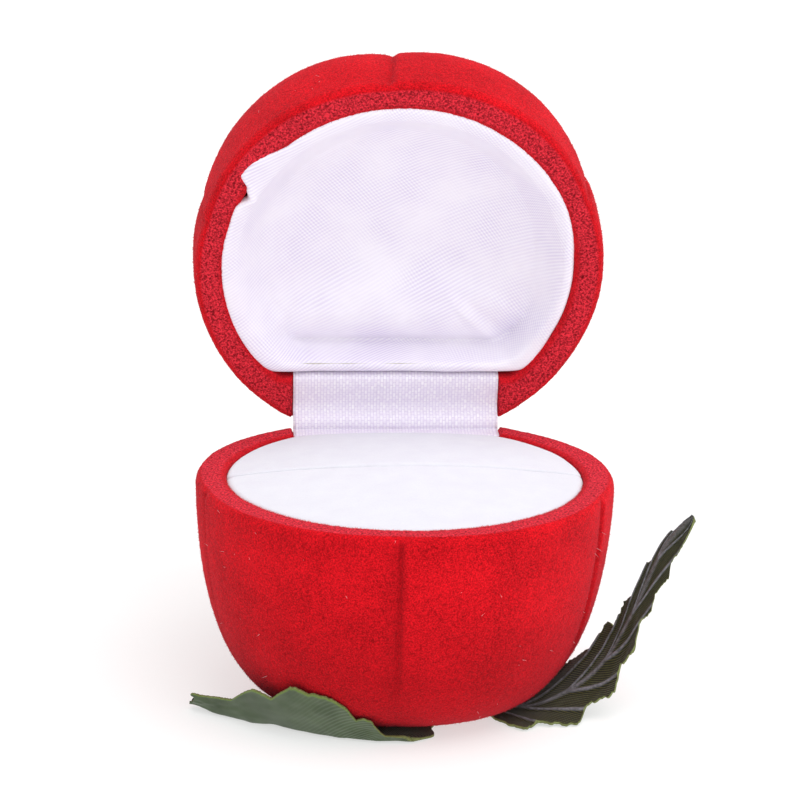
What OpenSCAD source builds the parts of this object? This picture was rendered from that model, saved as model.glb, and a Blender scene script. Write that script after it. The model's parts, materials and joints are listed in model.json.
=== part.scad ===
// Rosebud ring box: a five-petalled cup and a hinged dome lid, both hollow and flocked outside.
// Millimetres, +Z up. The origin is on the table under the cup's axis and the front faces -Y.
// The lid is drawn standing open at its stop.

/* [Petalled shells] */
// Radius at the crest of a petal
shell_r = 20; // [19:0.1:21]
// How far each petal's arc is centred from the axis at the rim
petal_shift = 2; // [0.5:0.1:3]
// The same shift on the shoulder of the lid, as a share of the radius
bud_shift = 0.3; // [0.1:0.01:0.4]
// Turn of the front seam away from straight ahead, in degrees
seam_turn = -4; // [-12:0.5:12]
// Height of the cup from its foot to the rim
cup_h = 21.1; // [19:0.1:24]
// Height of the outer petals of the lid above the rim
dome_h = 18.3; // [17:0.1:20]
// Height of the closed bud above the rim
bud_h = 20.6; // [19:0.1:22]
// Wall thickness
wall = 2.6; // [2.2:0.1:2.8]
// How far the rim's outer edge is rounded in
rim_round = 0.55; // [0.3:0.05:0.8]
// Half of the parting gap between the closed rims
rim_gap = 0.15; // [0.1:0.05:0.2]
// Depth of the solid web in the lid, from its back to the inner face behind the lining
lid_web = 4.7; // [4.5:0.1:5]

/* [Hinge] */
// Distance from the cup's axis to the hinge axis
hinge_y = 17.4; // [17.2:0.1:17.8]
// Angle at which the lid stands open
open_angle = 75; // [60:1:90]
// Width of each hinge leaf
leaf_w = 14; // [13:0.5:15]
// Outer radius of the hinge knuckles
knuckle_r = 0.9; // [0.85:0.05:0.95]
// Radius of the hinge pin
pin_r = 0.4; // [0.3:0.05:0.45]
// Thickness of the hinge sheet metal
sheet_t = 0.4; // [0.3:0.05:0.45]
// Width of the satin ribbon over the hinge
ribbon_w = 20; // [18:0.5:20]
// Thickness of the ribbon
ribbon_t = 0.25; // [0.2:0.05:0.25]

/* [Ring pad] */
// Radius of the foam pad
pad_r = 16; // [15:0.1:16.2]
// Thickness of the foam at its edge
pad_t = 9.5; // [8:0.5:10]
// Height of the pad's crown above the cup's rim
pad_crown = 0.9; // [0.3:0.1:1.2]
// Width of the slot that grips the ring
slot_w = 0.6; // [0.4:0.1:1.2]

/* [Lid lining] */
// Radius of the lining tray
tray_r = 16.4; // [16:0.1:16.5]
// Distance from the cup's axis to the straight side of the tray
tray_flat_y = 11.6; // [11:0.1:11.8]
// Depth of the satin panel below the lid's rim
tray_depth = 7; // [6:0.5:9]
// Thickness of the tray's card
card_t = 0.6; // [0.5:0.1:0.8]
// Thickness of the satin
satin_t = 0.3; // [0.2:0.05:0.4]
// Thickness of the wadding behind the satin
wadding_t = 1; // [0.6:0.1:1.6]

/* [Leaves and foot] */
// Thickness of the glue pad that carries the foot and holds the leaves
glue_t = 0.8; // [0.7:0.05:1]
// Radius of the glue pad
glue_r = 8.5; // [7:0.5:8.5]
// Thickness of the leaf fabric
leaf_t = 0.4; // [0.3:0.05:0.5]

/* [Hidden] */
$fn = 72;

red = [0.74, 0.05, 0.08];
white = [0.95, 0.94, 0.97];
foam_white = [0.98, 0.98, 0.98];
card_grey = [0.80, 0.78, 0.74];
steel = [0.72, 0.72, 0.74];
leaf_green = [0.30, 0.40, 0.27];
glue_tan = [0.86, 0.80, 0.62];

petals = 5;
petal_angle = 360 / petals;
segments = 15 * petals;
cup_rings = 12;
inner_rings = 6;
floor_t = 2.5;                       // thickness of the cup's floor
roof_z = 15.5;                       // inner ceiling of the lid above its rim
bud_width = 0.905;                   // bud radius as a share of the outer petals'
bud_petals = 0.12;                   // petal shift of the bud, as a share of its radius
bud_twist = 3;                       // how far the seams lean on their way up the lid
rim_z = glue_t + cup_h;              // height of the parting plane and of the hinge axis
rear_y = hinge_y - 0.2;              // flattened back of both shells
wall_y = rear_y - wall;              // inner face of the cup's back wall
web_y = rear_y - lid_web;            // inner face of the lid's back web
slot_y = slot_w / 2;

// ---- shell outlines ----

// Angle from the middle of the petal that azimuth a falls on, with one seam at azimuth turn.
function from_middle(a, turn) = let (s = (a - turn) / petal_angle) (s - floor(s) - 0.5) * petal_angle;
// Outline of a ring of petals as a share of the crest radius. Each petal is an arc centred
// off the axis by the share named shift.
function petal_ring(a, turn, shift) = let (m = from_middle(a, turn))
    shift * cos(m) + sqrt(pow(1 - shift, 2) - pow(shift * sin(m), 2));

// Radius of the cup's side at depth h below the rim: full at first, then drawn in to the foot.
full_h = cup_h * 1.0355;
function cup_side(h) = shell_r * pow(1 - pow(h / full_h, 1.9), 1 / 5.5);
// Radius of the lid's outer side at height h above the rim.
function dome_side(h) = shell_r * pow(1 - pow(h / dome_h, 3), 1 / 3);
// How far the rounded rim edge stands in from the side at distance h from the rim.
function edge_in(h) = rim_round * pow(max(0, 1 - h / (2 * rim_round)), 2);
// Distance from the middle of the rim to a dome, looking up at angle e.
function reach(e, width, height) = pow(pow(cos(e) / width, 3) + pow(sin(e) / height, 3), -1 / 3);
// Petals are shallow at the rim and stand well apart at the shoulder.
function shoulder_shift(e) = let (low = petal_shift / shell_r)
    low + (bud_shift - low) * pow(min(1, e / 50), 1.5);
// The lid's surface is the outer petals, and above them the closed bud between their tips.
function lid_reach(a, e) = max(
    reach(e, shell_r * petal_ring(a, seam_turn + bud_twist * e / 40, shoulder_shift(e)), dome_h),
    reach(e, bud_width * shell_r * petal_ring(a, seam_turn + petal_angle / 2, bud_petals), bud_h));

// A point at azimuth a and radius r, held in front of the flattened back.
function around(a, r, z, y_max) = [r * sin(a), min(-r * cos(a), y_max), z];
function azimuths() = [for (i = [0:segments - 1]) i * 360 / segments];

// A closed skin through a stack of rings, with a fan to a middle point at each end.
module ring_stack(first, rings, last) {
    n = segments;
    top = len(rings) * n + 1;
    faces = [
        for (i = [0:n - 1]) [0, 1 + i, 1 + (i + 1) % n],
        for (j = [0:len(rings) - 2], i = [0:n - 1])
            let (p = 1 + j * n + i, q = 1 + j * n + (i + 1) % n) each [[p, p + n, q], [q, p + n, q + n]],
        for (i = [0:n - 1]) [top, top - n + (i + 1) % n, top - n + i]];
    polyhedron([first, each [for (ring = rings) each ring], last], faces);
}

function cup_outer(h) = [for (a = azimuths())
    around(a, (cup_side(h) - edge_in(h)) * petal_ring(a, seam_turn, petal_shift / shell_r), rim_z - h, rear_y)];
function cup_inner(h) = [for (a = azimuths())
    around(a, min(cup_side(h), shell_r - rim_round) - wall, rim_z - h, wall_y)];
function lid_edge() = [for (a = azimuths())
    around(a, (shell_r - edge_in(rim_gap)) * petal_ring(a, seam_turn, petal_shift / shell_r), rim_gap, rear_y)];
function lid_outer(e) = [for (a = azimuths()) let (far = lid_reach(a, e))
    around(a, far * cos(e) - edge_in(far * sin(e)), far * sin(e), rear_y)];
function lid_inner(h) = [for (a = azimuths())
    around(a, min(dome_side(h), shell_r - rim_round) - wall, h, web_y)];

// ---- shells ----

// Places parts drawn on the closed lid, with z measured from the hinge plane, at the open stop.
module on_open_lid() {
    translate([0, hinge_y, rim_z]) rotate([-open_angle, 0, 0]) translate([0, -hinge_y, 0]) children();
}

// Room in the back of a rim, up to distance front from the axis, for the ribbon and the hinge leaf.
// It is drawn below the hinge plane.
plate_front = wall_y - sheet_t;
leg_h = 5.5;
ribbon_room = 0.6;
hinge_room = knuckle_r + 0.15;
module rear_notch(front) {
    for (room = [[ribbon_w + 0.6, front - 1, ribbon_room], [leaf_w + 1.6, plate_front - 0.5, hinge_room]])
        translate([-room[0] / 2, room[1], -room[2]]) cube([room[0], hinge_y + 2 - room[1], room[2] + 1]);
}

// Recess in the inside of the cup's back wall that takes the ribbon's leg.
ribbon_leg = 8;
module ribbon_recess() {
    translate([-ribbon_w / 2 - 0.3, plate_front - 1, -ribbon_leg - 0.3])
        cube([ribbon_w + 0.6, wall_y - plate_front + 1, ribbon_leg + 1]);
}

// Slot that takes the leg of the lid's hinge leaf.
module leg_slot() {
    play = 0.1;
    translate([-leaf_w / 2 - play, plate_front - play, -hinge_room - leg_h])
        cube([leaf_w + 2 * play, sheet_t + 2 * play, leg_h + 1]);
}

module base_shell() {
    depth = cup_h - floor_t;
    color(red) difference() {
        ring_stack([0, 0, glue_t],
            [for (k = [0:cup_rings]) cup_outer(cup_h - (cup_h - rim_gap) * pow(k / cup_rings, 1.5)),
             for (k = [0:inner_rings]) cup_inner(rim_gap + (depth - rim_gap) * k / inner_rings)],
            [0, 0, rim_z - depth]);
        translate([0, 0, rim_z]) {
            rear_notch(wall_y);
            ribbon_recess();
        }
    }
}

module lid_shell() {
    color(red) on_open_lid() difference() {
        ring_stack([0, 0, roof_z],
            [for (k = [0:inner_rings]) lid_inner(roof_z - (roof_z - rim_gap) * k / inner_rings),
             lid_edge(),
             for (e = [2, 4, 9, 15, 21, 27, 32, 36, 40, 44, 48, 53, 58, 64, 70, 76, 83]) lid_outer(e)],
            [0, 0, bud_h]);
        mirror([0, 0, 1]) {
            rear_notch(web_y);
            leg_slot();
        }
    }
}

// ---- hinge ----

knuckle_gap = 0.1;
lid_knuckle = [1.6, 4.1];                       // x from and to, mirrored
base_knuckle = [lid_knuckle[1] + knuckle_gap, leaf_w / 2];
bore_r = pin_r + 0.05;

module knuckle(span) {
    for (side = [-1, 1]) translate([side * (span[0] + span[1]) / 2, hinge_y, 0]) rotate([0, 90, 0])
        difference() {
            cylinder(r = knuckle_r, h = span[1] - span[0], center = true);
            cylinder(r = bore_r, h = span[1], center = true);
        }
}

// A hinge leaf below the hinge plane: an angle plate over the wall with two rolled knuckles.
module hinge_plate(span, plate_z) {
    knuckle(span);
    difference() {
        union() {
            translate([-leaf_w / 2, plate_front, plate_z]) cube([leaf_w, hinge_y - plate_front, sheet_t]);
            translate([-leaf_w / 2, plate_front, plate_z - leg_h]) cube([leaf_w, sheet_t, leg_h + sheet_t / 2]);
        }
        translate([0, hinge_y, 0]) rotate([0, 90, 0]) cylinder(r = bore_r, h = leaf_w + 2, center = true);
        for (clear = [[0, span[0]], [span[1], leaf_w / 2 + 1]]) if (clear[1] - clear[0] > 0) for (side = [-1, 1])
            translate([side * (clear[0] + clear[1]) / 2, hinge_y, plate_z])
                cube([clear[1] - clear[0] + knuckle_gap, 2 * knuckle_r + 0.4, 2], center = true);
    }
}

module hinge_base_leaf() {
    color(steel) translate([0, 0, rim_z]) hinge_plate([base_knuckle[0], leaf_w / 2], -knuckle_r - 0.1);
}

module hinge_lid_leaf() {
    color(steel) on_open_lid() mirror([0, 0, 1]) hinge_plate(lid_knuckle, -knuckle_r - 0.1);
}

module hinge_pin() {
    head = [0.65, 0.35];
    color(steel) translate([0, hinge_y, rim_z]) rotate([0, 90, 0]) {
        cylinder(r = pin_r, h = leaf_w + 0.2, center = true);
        for (side = [-1, 1]) translate([0, 0, side * (leaf_w / 2 + head[1] / 2 + 0.05)])
            cylinder(r = head[0], h = head[1], center = true);
    }
}

// Torsion spring: a close coil around the pin, between the lid's knuckles.
coil_r = 0.66;
wire_r = 0.15;
coil_half = lid_knuckle[0] - wire_r - 0.15;
coil_turns = 6;
coil_steps = 14;
wire_sides = 8;
function coil_ring(t) = let (a = 360 * coil_turns * t, x = coil_half * (2 * t - 1))
    [for (k = [0:wire_sides - 1]) let (b = 360 * k / wire_sides, r = coil_r + wire_r * cos(b))
        [x + wire_r * sin(b), hinge_y + r * cos(a), rim_z + r * sin(a)]];

module tube(rings) {
    n = len(rings[0]);
    m = len(rings);
    faces = [
        for (end = [0, 1], i = [0:n / 2 - 2])
            let (e = end * (m - 1) * n, quad = [e + i, e + i + 1, e + n - 2 - i, e + n - 1 - i])
            end == 0 ? quad : [for (k = [3:-1:0]) quad[k]],
        for (j = [0:m - 2], i = [0:n - 1])
            let (p = j * n + i, q = j * n + (i + 1) % n) each [[p, p + n, q], [q, p + n, q + n]]];
    polyhedron([for (ring = rings) each ring], faces);
}

module hinge_spring() {
    steps = coil_turns * coil_steps;
    color(steel) tube([for (k = [0:steps]) coil_ring(k / steps)]);
}

// ---- ribbon ----

// One half of the ribbon below the hinge plane: down the face at distance front, and out over the rim.
module ribbon_half(front, down) {
    top = -ribbon_room + ribbon_t + 0.05;
    translate([-ribbon_w / 2, front - ribbon_t, -down]) cube([ribbon_w, ribbon_t, down + top]);
    translate([-ribbon_w / 2, front - ribbon_t, top - ribbon_t])
        cube([ribbon_w, hinge_y - knuckle_r - 0.2 - front + ribbon_t, ribbon_t]);
}

module ribbon_lower() { color(white) translate([0, 0, rim_z]) ribbon_half(plate_front - 0.1, ribbon_leg); }
module ribbon_upper() { color(white) on_open_lid() mirror([0, 0, 1]) ribbon_half(web_y - 0.1, 5); }

// ---- ring pad ----

pad_rear_y = plate_front - 0.1 - ribbon_t - 0.15;
pad_edge_z = rim_z - 0.5;
pad_floor_z = pad_edge_z - pad_t;
cap_h = rim_z + pad_crown - pad_edge_z;
cap_r = (pow(pad_r, 2) + pow(cap_h, 2)) / (2 * cap_h);

// Half of the crowned foam disc, between y_from and y_to.
module pad_half(y_from, y_to) {
    color(foam_white) intersection() {
        translate([0, 0, pad_floor_z]) cylinder(r = pad_r, h = 2 * pad_t);
        translate([0, 0, rim_z + pad_crown - cap_r]) sphere(r = cap_r, $fn = 180);
        translate([-pad_r - 1, y_from, pad_floor_z]) cube([2 * pad_r + 2, y_to - y_from, 2 * pad_t]);
    }
}

module pad_front() pad_half(-pad_r - 1, -slot_y);
module pad_rear() pad_half(slot_y, pad_rear_y);

card_disc_t = 1;
module pad_card() {
    color(card_grey) translate([0, 0, pad_floor_z - card_disc_t]) intersection() {
        cylinder(r = pad_r - 0.5, h = card_disc_t);
        translate([-pad_r, -pad_r, 0]) cube([2 * pad_r, pad_r + pad_rear_y, card_disc_t]);
    }
}

riser_r = 12;
module pad_riser() {
    riser_z = glue_t + floor_t;
    color(card_grey) translate([0, 0, riser_z]) difference() {
        cylinder(r = riser_r, h = pad_floor_z - card_disc_t - riser_z);
        translate([0, 0, -1]) cylinder(r = riser_r - 1.2, h = 2 * pad_t);
    }
}

// ---- lid lining, drawn on the closed lid ----

module tray_outline(inset) {
    intersection() {
        circle(r = tray_r - inset);
        translate([-tray_r, -2 * tray_r + tray_flat_y - inset]) square([2 * tray_r, 2 * tray_r]);
    }
}

lip_z = rim_gap + 0.25;
module tray(inset, from_z, to_z, thick) {
    difference() {
        translate([0, 0, from_z]) linear_extrude(to_z - from_z) tray_outline(inset);
        translate([0, 0, from_z - 1]) linear_extrude(to_z - from_z + 1 - thick) tray_outline(inset + thick);
    }
}

panel_z = tray_depth + satin_t;
module lining_card() {
    color(card_grey) on_open_lid() tray(0, lip_z + 0.3, panel_z + wadding_t + card_t, card_t);
}
module lining_wadding() {
    color(foam_white) on_open_lid() translate([0, 0, panel_z]) linear_extrude(wadding_t)
        tray_outline(card_t + satin_t);
}
module lining_satin() { color(white) on_open_lid() tray(card_t, lip_z, panel_z, satin_t); }

// ---- leaves ----

// A smooth curve through hand-set points: t runs from 0 to the last index.
function blend_at(p, t) = let (i = min(floor(t), len(p) - 2), s = t - i,
    a = p[max(0, i - 1)], b = p[i], c = p[i + 1], d = p[min(len(p) - 1, i + 2)])
    0.5 * (2 * b + (c - a) * s + (2 * a - 5 * b + 4 * c - d) * s * s + (3 * b - a - 3 * c + d) * s * s * s);

leaf_steps = 24;
leaf_half_steps = 3;
// Point of a leaf at share u along it and v across it, from -1 at one edge over 0 at the midrib.
function leaf_point(edges, u, v) = let (t = u * (len(edges[0]) - 1), rib = blend_at(edges[1], t),
    side = blend_at(v < 0 ? edges[0] : edges[2], t)) rib + (side - rib) * abs(v);
function unit(v) = v / norm(v);
function leaf_normal(edges, u, v) = let (d = 0.02,
    along = leaf_point(edges, min(1, u + d), v) - leaf_point(edges, max(0, u - d), v),
    across = leaf_point(edges, u, min(1, v + 10 * d)) - leaf_point(edges, u, max(-1, v - 10 * d)))
    unit(cross(along, across));

// A leaf: edges holds the curves of one margin, the midrib and the other margin.
module leaf_blade(edges) {
    across = [for (k = [-leaf_half_steps:leaf_half_steps]) k / leaf_half_steps];
    function skin(u, side) = [for (v = across)
        leaf_point(edges, u, v) + side * leaf_t / 2 * leaf_normal(edges, u, v)];
    function flip(list) = [for (i = [len(list) - 1:-1:0]) list[i]];
    tube([for (k = [0:leaf_steps]) let (u = 0.004 + 0.992 * k / leaf_steps)
        concat(skin(u, -1), flip(skin(u, 1)))]);
}

// Left leaf: folded along its midrib on the table, one half under the foot and one up the cup.
left_under = [[2, -9.2, 0.22], [-2, -8.6, 0.22], [-6, -7, 0.22], [-9.5, -4.5, 0.22], [-14, -2.6, 0.3],
              [-20.2, -2.4, 0.9]];
left_rib = [[4, -13, 0.3], [-3, -12.9, 0.25], [-8.6, -11.2, 0.25], [-13.6, -8.4, 0.3], [-17.6, -5.4, 0.5],
            [-20.4, -3, 1]];
left_over = [[3, -13.8, 0.6], [-3.4, -14.4, 1.7], [-9.6, -14, 4.6], [-13.8, -10.8, 4.9], [-17.6, -7.2, 3.2],
             [-20.5, -3.2, 1.6]];

// Right leaf: rises from under the foot and curls up beside the cup.
right_low = [[7, -5.6, 0.25], [12, -9.8, 0.3], [17.4, -9, 1], [20.6, -6.6, 4.6], [24, -5.2, 9.6], [27, -3, 14.2],
             [28.6, -0.4, 18]];
right_rib = [[6, -1.6, 0.25], [11.4, -5.6, 0.5], [16.6, -5.8, 2.4], [20.2, -4.8, 5.6], [23, -3.8, 10.2],
             [25.8, -2, 14.4], [28.7, 0, 18.1]];
right_high = [[5.6, 3.2, 0.25], [13.3, 0.9, 0.76], [17.8, -2.4, 4.8], [19.8, -3.4, 8.4], [22.2, -2.6, 11.8],
              [25, -1, 15], [28.6, 0.4, 18.2]];

module leaf_left() { color(leaf_green) leaf_blade([left_under, left_rib, left_over]); }
module leaf_right() { color(leaf_green) leaf_blade([right_low, right_rib, right_high]); }

// The glue pad stands between the leaf roots and overlaps none of them.
glue_side = 5.3;
module leaf_glue() {
    color(glue_tan) intersection() {
        translate([0, 2.6, 0]) cylinder(r = glue_r, h = glue_t);
        translate([-glue_r - 1, -glue_r, -1]) cube([glue_r + 1 + glue_side, 3 * glue_r, glue_t + 2]);
    }
}

base_shell();
lid_shell();
hinge_base_leaf();
hinge_lid_leaf();
hinge_pin();
hinge_spring();
ribbon_lower();
ribbon_upper();
pad_front();
pad_rear();
pad_card();
pad_riser();
lining_card();
lining_wadding();
lining_satin();
leaf_left();
leaf_right();
leaf_glue();
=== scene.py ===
"""Rosebud ring box: flocked petalled shells, satin lining, ribbon, foam pad and fabric leaves.

Lengths are in millimetres until a mesh is made. The lid's pieces are drawn on the closed lid, with z
measured from the hinge plane, and then turned to the open stop.
"""
import json
import math
from itertools import product

import bpy
import numpy as np
from mathutils import Matrix, Vector


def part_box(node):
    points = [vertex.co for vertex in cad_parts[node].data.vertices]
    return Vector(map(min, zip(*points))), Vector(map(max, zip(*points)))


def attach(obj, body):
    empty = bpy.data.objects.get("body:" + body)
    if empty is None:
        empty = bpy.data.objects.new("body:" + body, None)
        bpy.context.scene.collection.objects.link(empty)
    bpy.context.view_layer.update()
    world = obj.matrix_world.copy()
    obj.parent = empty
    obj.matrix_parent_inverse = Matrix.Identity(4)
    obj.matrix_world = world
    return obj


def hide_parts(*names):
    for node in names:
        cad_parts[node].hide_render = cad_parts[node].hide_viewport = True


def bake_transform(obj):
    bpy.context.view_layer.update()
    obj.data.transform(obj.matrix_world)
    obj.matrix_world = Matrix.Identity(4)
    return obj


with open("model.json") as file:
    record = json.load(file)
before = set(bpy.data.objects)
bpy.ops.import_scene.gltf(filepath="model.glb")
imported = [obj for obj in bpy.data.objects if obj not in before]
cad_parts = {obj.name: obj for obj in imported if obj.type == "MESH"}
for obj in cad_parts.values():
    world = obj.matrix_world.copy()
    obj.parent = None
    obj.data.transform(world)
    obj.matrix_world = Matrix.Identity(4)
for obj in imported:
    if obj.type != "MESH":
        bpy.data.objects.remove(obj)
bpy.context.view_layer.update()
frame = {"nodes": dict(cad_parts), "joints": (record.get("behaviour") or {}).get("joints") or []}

MM = 0.001
rng = np.random.default_rng(11)

# ---- numbers shared with the CAD ----
hinge = frame["joints"][0]
HINGE_Y, RIM_Z = hinge["pos_m"][1] / MM, hinge["pos_m"][2] / MM
OPEN_ANGLE = -math.radians(hinge["range_deg"][0])
GLUE_T = 0.8
SHELL_R = 20
PETAL_SHIFT = 0.1
BUD_SHIFT = 0.3
BUD_WIDTH = 0.905
BUD_PETALS = 0.12
BUD_TWIST = 3
SEAM_TURN = -4
PETAL_ANGLE = 72
CUP_H = RIM_Z - GLUE_T
DOME_H = 18.3
BUD_H = 20.6
WALL = 2.6
FLOOR_T = 2.5
ROOF_Z = 15.5
RIM_ROUND = 0.55
RIM_GAP = 0.15
REAR_Y = 17.2
WALL_Y = 14.6
WEB_Y = 12.5

# ---- looks only ----
RIBBON_W = 20.3                                    # 20 in the CAD; it spreads a little where it bends
RIM_INNER = 17.0                                   # inner edge of the rims, as they look
CUP_LEAN = 0.3                                     # how far the cup's foot stands to the left
FOOT_PAINTED_SHADE = 0.95                                   # how strongly painted shade darkens the cup's flock towards the foot


# ---- arrays and meshes ----
def smooth_step(x, low, high):
    t = np.clip((x - low) / (high - low), 0, 1)
    return t * t * (3 - 2 * t)


def lattice(cell, seed):
    """A random number from 0 to 1 for every whole-number cell."""
    c = cell.astype(np.int64)
    h = (c[..., 0] * 73856093) ^ (c[..., 1] * 19349663) ^ (c[..., 2] * 83492791) ^ (seed * 40503 + 977)
    h = h & 0xFFFFFFFF
    h = ((h ^ (h >> 15)) * 739982445) & 0xFFFFFFFF
    h = ((h ^ (h >> 12)) * 695872825) & 0xFFFFFFFF
    return (h ^ (h >> 15)) / 0xFFFFFFFF


def noise(points, size, seed=0):
    """Smooth noise from -1 to 1 with lumps of the given size."""
    p = points / size
    base = np.floor(p)
    f = p - base
    f = f * f * (3 - 2 * f)
    total = 0
    for corner in product((0, 1), repeat=3):
        weight = 1
        for axis, step in enumerate(corner):
            weight = weight * (f[..., axis] if step else 1 - f[..., axis])
        total = total + weight * lattice(base + np.array(corner), seed)
    return 2 * total - 1


def on_open_lid(p):
    """Closed-lid points, z from the hinge plane, turned to the open stop."""
    dy, dz = p[..., 1] - HINGE_Y, p[..., 2]
    c, s = math.cos(OPEN_ANGLE), math.sin(OPEN_ANGLE)
    return np.stack([p[..., 0], HINGE_Y + dy * c + dz * s, RIM_Z - dy * s + dz * c], -1)


def grid_quads(rows, cols, wrap):
    """Quads of a grid of points, rows by cols, closed round if wrap."""
    i = np.arange(rows - 1)[:, None]
    j = np.arange(cols if wrap else cols - 1)[None, :]
    k = (j + 1) % cols
    return np.stack([i * cols + j, i * cols + k, (i + 1) * cols + k, (i + 1) * cols + j], -1).reshape(-1, 4)


def closed_stack(rings, first, last):
    """Points and faces of a skin through closed rings, with a fan to a middle point at each end."""
    m, n = rings.shape[:2]
    j = np.arange(n)
    k = (j + 1) % n
    top = m * n + 1
    faces = (grid_quads(m, n, True) + 1).tolist()
    faces += np.stack([np.zeros(n, int), 1 + k, 1 + j], -1).tolist()
    faces += np.stack([np.full(n, top), top - n + j, top - n + k], -1).tolist()
    return np.concatenate([[first], rings.reshape(-1, 3), [last]]), faces


def slab(front, back):
    """Points, faces and a side number (0 front, 1 back, 2 edge) of a sheet between two grids."""
    m, n = front.shape[:2]
    top = grid_quads(m, n, False)
    border = [j for j in range(n)] + [i * n + n - 1 for i in range(1, m)]
    border += [(m - 1) * n + j for j in range(n - 2, -1, -1)] + [i * n for i in range(m - 2, 0, -1)]
    a = np.array(border)
    b = np.roll(a, -1)
    rim = np.stack([b, a, a + m * n, b + m * n], -1)
    faces = np.concatenate([top, top[:, ::-1] + m * n, rim])
    side = np.concatenate([np.zeros(len(top), int), np.ones(len(top), int), np.full(len(rim), 2)])
    return np.concatenate([front.reshape(-1, 3), back.reshape(-1, 3)]), faces.tolist(), side


def normals_of(mesh):
    n = np.zeros(len(mesh.vertices) * 3, np.float32)
    mesh.vertex_normals.foreach_get("vector", n)
    return n.reshape(-1, 3).astype(float)


def add_mesh(name, points, faces, materials, side=None, uv=None, marks=None, relief=None):
    """Makes a smooth mesh piece from points in millimetres. relief gives heights along the normals."""
    mesh = bpy.data.meshes.new(name)
    mesh.from_pydata((points * MM).tolist(), [], faces)
    mesh.polygons.foreach_set("use_smooth", [True] * len(mesh.polygons))
    if relief is not None:
        points = points + normals_of(mesh) * relief(points)[:, None]
        mesh.vertices.foreach_set("co", (points * MM).ravel())
    for m in materials:
        mesh.materials.append(m)
    if side is not None:
        mesh.polygons.foreach_set("material_index", np.minimum(side, len(materials) - 1))
    if uv is not None:
        corner = np.zeros(len(mesh.loops), int)
        mesh.loops.foreach_get("vertex_index", corner)
        mesh.uv_layers.new(name="Weave").data.foreach_set("uv", uv[corner].ravel())
    for key, values in (marks or {}).items():
        mesh.attributes.new(key, "FLOAT", "POINT").data.foreach_set("value", values.astype(np.float32))
    mesh.update()
    obj = bpy.data.objects.new(name, mesh)
    bpy.context.scene.collection.objects.link(obj)
    return obj


# ---- materials ----
class Paint:
    """A Principled material and short calls for its nodes."""

    def __init__(self, name, **shader):
        self.material = bpy.data.materials.new(name)
        self.material.use_nodes = True
        self.tree = self.material.node_tree
        self.shader = self.tree.nodes["Principled BSDF"]
        self.set(self.shader, {k.replace("_", " "): v for k, v in shader.items()})
        self.place = self.add("TexCoord").outputs["Object"]

    def set(self, node, values):
        for key, value in values.items():
            if isinstance(value, bpy.types.NodeSocket):
                self.tree.links.new(value, node.inputs[key])
            else:
                node.inputs[key].default_value = value

    def add(self, kind, values=None, **props):
        node = self.tree.nodes.new("ShaderNode" + kind)
        for key, value in props.items():
            setattr(node, key, value)
        self.set(node, values or {})
        return node

    def weave_place(self):
        self.place = self.add("UVMap", uv_map="Weave").outputs["UV"]

    def noise(self, size, detail=2.0, rough=0.5, place=None, stretch=None):
        """Noise from 0 to 1 with lumps of a size in millimetres."""
        place = place or self.place
        if stretch:
            place = self.add("Mapping", {"Vector": place, "Scale": stretch}).outputs["Vector"]
        return self.add("TexNoise", {"Vector": place, "Scale": 1 / (size * MM), "Detail": detail,
                                     "Roughness": rough}).outputs["Fac"]

    def math(self, operation, a, b=0.0, c=0.0, clamp=False):
        node = self.add("Math", operation=operation, use_clamp=clamp)
        self.set(node, {0: a, 1: b, 2: c})
        return node.outputs[0]

    def stripes(self, angle, period, shape=1.0):
        """Stripes from 0 to 1, period millimetres apart, across a direction in degrees."""
        k = 2 * math.pi / (period * MM)
        way = (k * math.cos(math.radians(angle)), k * math.sin(math.radians(angle)), 0)
        phase = self.add("VectorMath", {0: self.place, 1: way}, operation="DOT_PRODUCT").outputs["Value"]
        wave = self.math("MULTIPLY_ADD", self.math("SINE", phase), 0.5, 0.5)
        return self.math("POWER", wave, shape) if shape != 1 else wave

    def mark(self, name):
        return self.add("Attribute", attribute_name=name).outputs["Fac"]

    def mix(self, fac, a, b):
        node = self.add("Mix", data_type="RGBA", clamp_factor=True)
        self.set(node, {0: fac, 6: a, 7: b})
        return node.outputs[2]

    def range(self, value, low, high, to_low=0.0, to_high=1.0):
        return self.add("MapRange", {"Value": value, "From Min": low, "From Max": high, "To Min": to_low,
                                     "To Max": to_high}).outputs["Result"]

    def bump(self, height, depth, strength=1.0, after=None):
        values = {"Height": height, "Distance": depth * MM, "Strength": strength}
        if after is not None:
            values["Normal"] = after
        return self.add("Bump", values).outputs["Normal"]

    def finish(self, **links):
        self.set(self.shader, {k.replace("_", " "): v for k, v in links.items()})
        return self.material


def rgb(r, g, b):
    """A colour given as it looks on a screen, from 0 to 255."""
    def linear(c):
        return c / 255 / 12.92 if c <= 10 else ((c / 255 + 0.055) / 1.055) ** 2.4
    return linear(r), linear(g), linear(b), 1


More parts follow.
